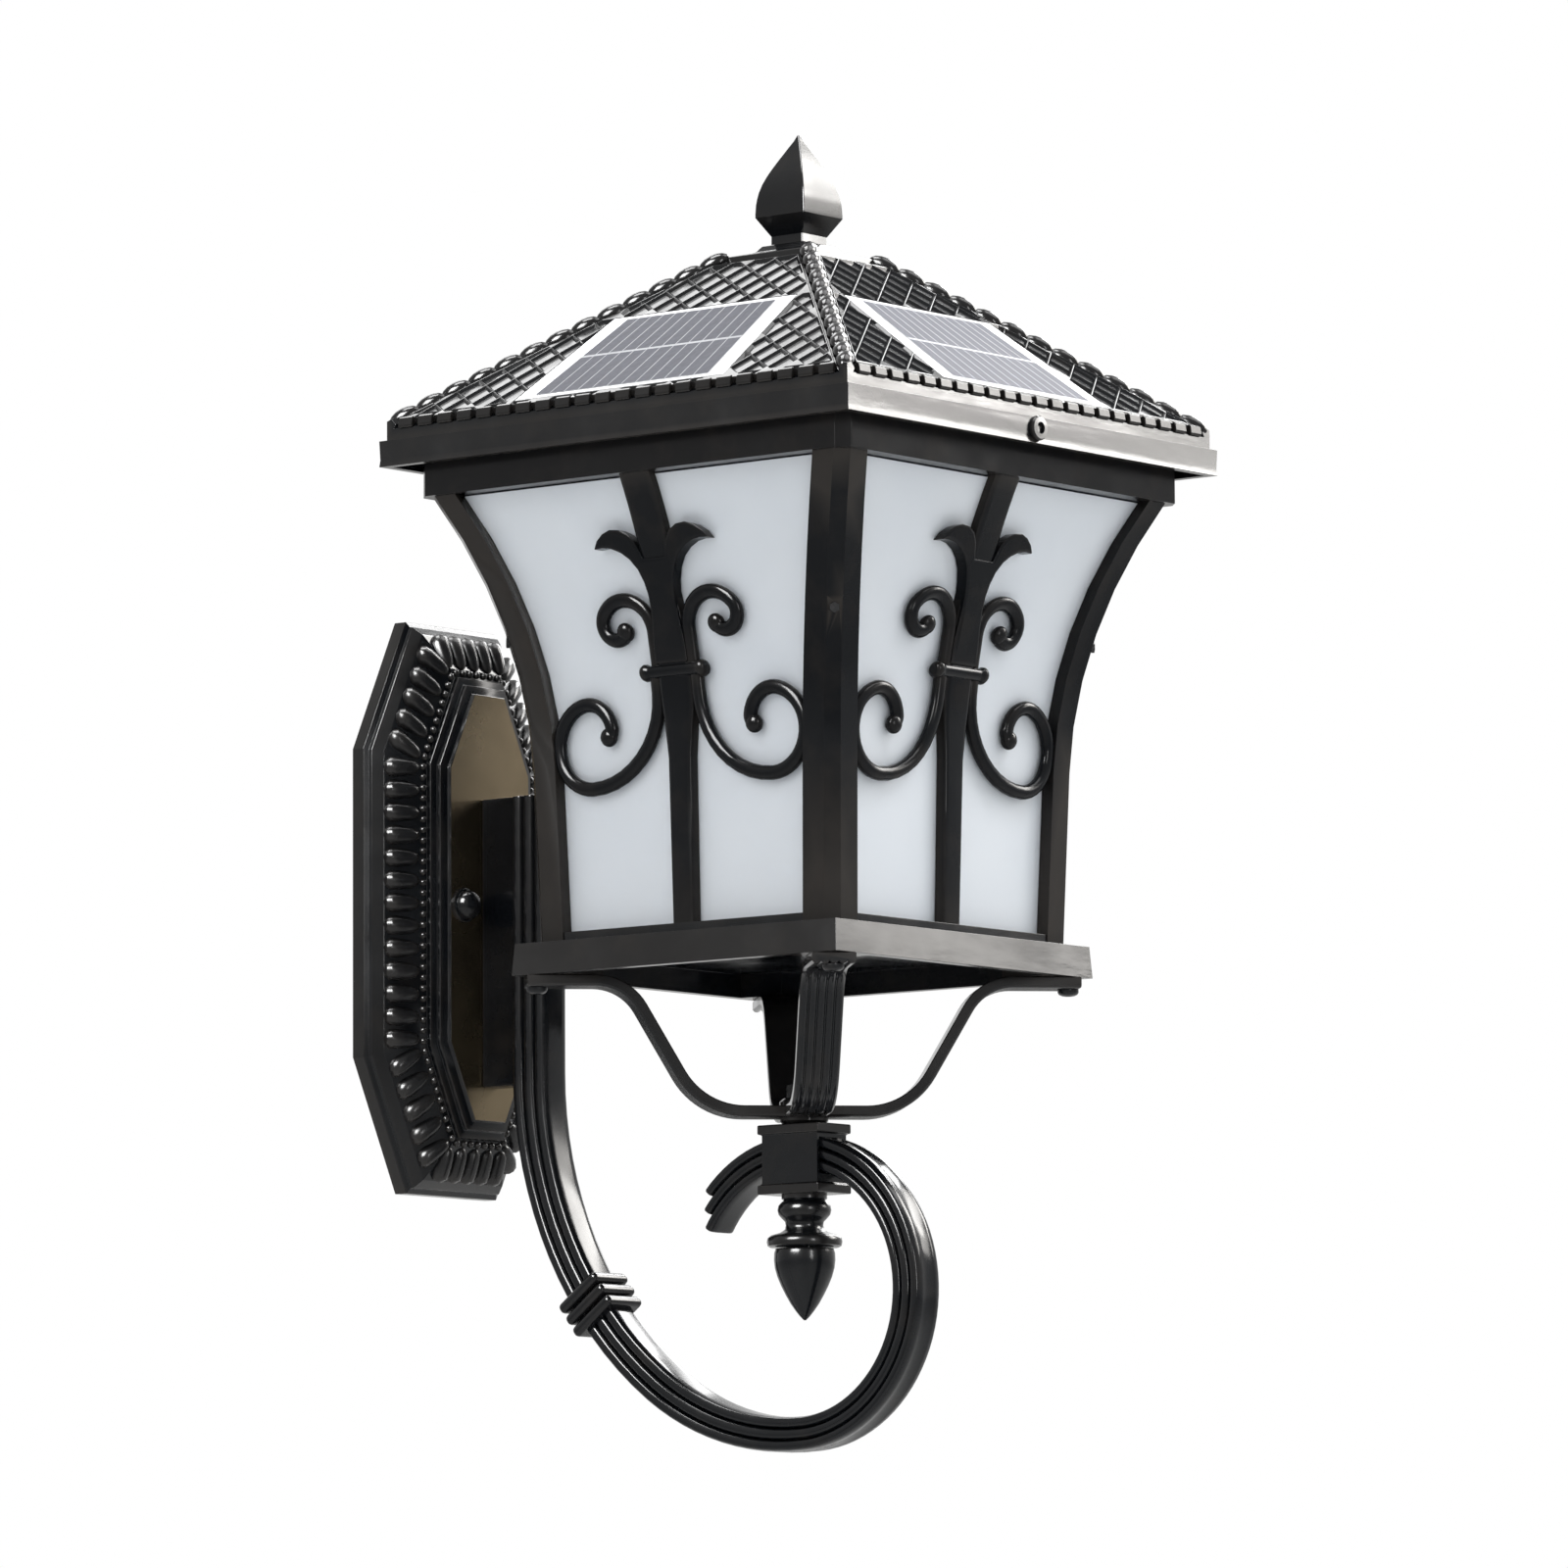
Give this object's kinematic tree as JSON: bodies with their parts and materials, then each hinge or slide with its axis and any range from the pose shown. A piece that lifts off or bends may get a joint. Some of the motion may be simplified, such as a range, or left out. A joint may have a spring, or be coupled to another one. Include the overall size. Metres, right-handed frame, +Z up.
{
  "type": "solar wall lantern",
  "caption": "Square flared lantern with frosted panes, scroll grilles and a hipped roof of solar panels, held out from the wall by a reeded scroll arm on a fluted plate.",
  "frame": {"origin": "centre of the wall plate on the wall plane", "axes": "+Z up, +Y into the wall, +X to the right as seen from the room side; the lantern hangs out towards -Y"},
  "size_m": [0.22, 0.2886, 0.4864],
  "materials": {
    "black_paint": "gloss black with faint brown rubbing",
    "black_screw": "blackened, semi-gloss",
    "steel": "zinc plated",
    "frosted_glass": "frosted",
    "solar_cells": "clear coat over dark cells",
    "white_sheet": "white, satin",
    "opal": "opal",
    "circuit_board": "solder mask",
    "battery_sleeve": "shrink sleeve",
    "black_plastic": "matte"
  },
  "bodies": {
    "base": {"wall_strap": "steel", "strap_studs": "steel", "wall_plate": "black_paint", "cap_nuts": "black_screw", "arm": "black_paint", "arm_bolts": "steel", "arm_collar": "black_paint", "arm_block": "black_paint", "drop_finial": "black_paint", "centre_rod": "steel", "rod_nut": "steel", "leg_bracket": "black_paint", "leg_screws": "black_screw", "tray": "black_paint", "post_front_left": "black_paint", "post_front_right": "black_paint", "post_rear_left": "black_paint", "post_rear_right": "black_paint", "post_foot_screws": "steel", "post_screws": "black_screw", "glass_clips": "steel", "top_rail": "black_paint", "rail_screws": "steel", "grille_front": "black_paint", "grille_rear": "black_paint", "grille_left": "black_paint", "grille_right": "black_paint", "pane_front": "frosted_glass", "pane_rear": "frosted_glass", "pane_left": "frosted_glass", "pane_right": "frosted_glass"},
    "roof": {"roof_shell": "black_paint", "lattice_front": "black_paint", "lattice_rear": "black_paint", "lattice_left": "black_paint", "lattice_right": "black_paint", "solar_panel_front": "solar_cells", "solar_panel_rear": "solar_cells", "solar_panel_left": "solar_cells", "solar_panel_right": "solar_cells", "roof_cap": "black_paint", "finial": "black_paint", "finial_bolt": "steel", "ceiling_plate": "white_sheet", "ceiling_screws": "steel", "roof_screws": "black_screw", "battery_cells": "battery_sleeve", "battery_holder": "black_plastic", "controller_board": "circuit_board", "board_standoffs": "black_plastic", "led_board": "circuit_board", "led_diffuser": "opal", "switch_body": "black_plastic", "switch_nut": "steel"},
    "switch_button": {"switch_button": "black_plastic"}
  },
  "joints": [
    {"name": "roof_lift", "type": "slide", "parent": "base", "child": "roof", "axis": [0, 0, 1], "range_m": [0, 0.08]},
    {"name": "switch_press", "type": "slide", "parent": "roof", "child": "switch_button", "axis": [0, 0, 1], "range_m": [0, 0.002], "stiffness_N_per_m": 300}
  ]
}
